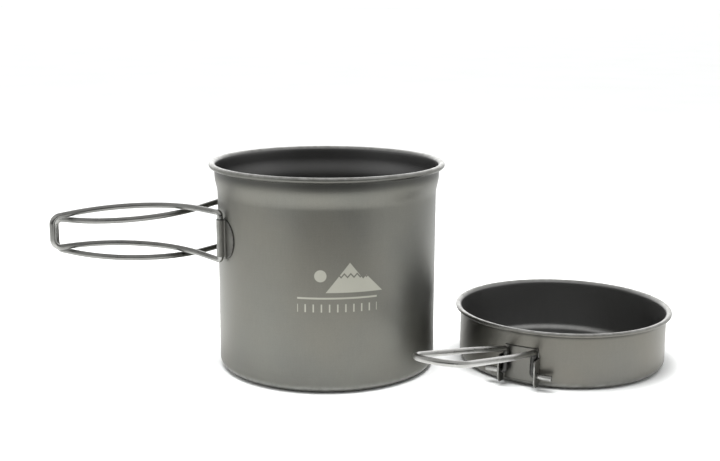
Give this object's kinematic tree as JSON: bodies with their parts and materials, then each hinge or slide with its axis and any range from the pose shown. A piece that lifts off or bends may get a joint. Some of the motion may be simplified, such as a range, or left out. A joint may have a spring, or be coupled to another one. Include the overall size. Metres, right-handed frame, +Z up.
{
  "type": "cooking pot set",
  "caption": "Camping cook pot with crossing fold-away wire handles, and a shallow fold-handle pan that doubles as its lid.",
  "frame": {"origin": "centre of the pot's base, on the surface it stands on", "axes": "+Z up along the pot's axis, the pot's handles point along -X, the pan stands on the +X side"},
  "size_m": [0.329, 0.1967, 0.1092],
  "materials": {
    "pot_sheet": "matte sandblasted titanium sheet",
    "pan_sheet": "matte sandblasted titanium sheet",
    "bracket_sheet": "satin titanium plate",
    "handle_wire": "satin drawn titanium wire"
  },
  "bodies": {
    "pot": {"pot_body": "pot_sheet", "pot_handle_bracket": "bracket_sheet"},
    "front_loop": {"front_pot_handle": "handle_wire"},
    "rear_loop": {"rear_pot_handle": "handle_wire"},
    "pan": {"pan_body": "pan_sheet", "pan_handle_bracket": "bracket_sheet"},
    "pan_loop": {"pan_handle": "handle_wire"}
  },
  "joints": [
    {"name": "front_handle_swing", "type": "hinge", "parent": "pot", "child": "front_loop", "pos_m": [-0.05599, -0.02071, 0.0729], "axis": [0, 0, 1], "range_deg": [0, 160]},
    {"name": "rear_handle_swing", "type": "hinge", "parent": "pot", "child": "rear_loop", "pos_m": [-0.05599, 0.02071, 0.0721], "axis": [0, 0, -1], "range_deg": [0, 160]},
    {"name": "pan_lift", "type": "slide", "parent": "pot", "child": "pan", "axis": [0, 0, 1], "range_m": [0, 0.15]},
    {"name": "pan_handle_fold", "type": "hinge", "parent": "pan", "child": "pan_loop", "pos_m": [0.09285, -0.05444, 0.0076], "axis": [0.7986, -0.6018, 0], "range_deg": [0, 190]}
  ]
}
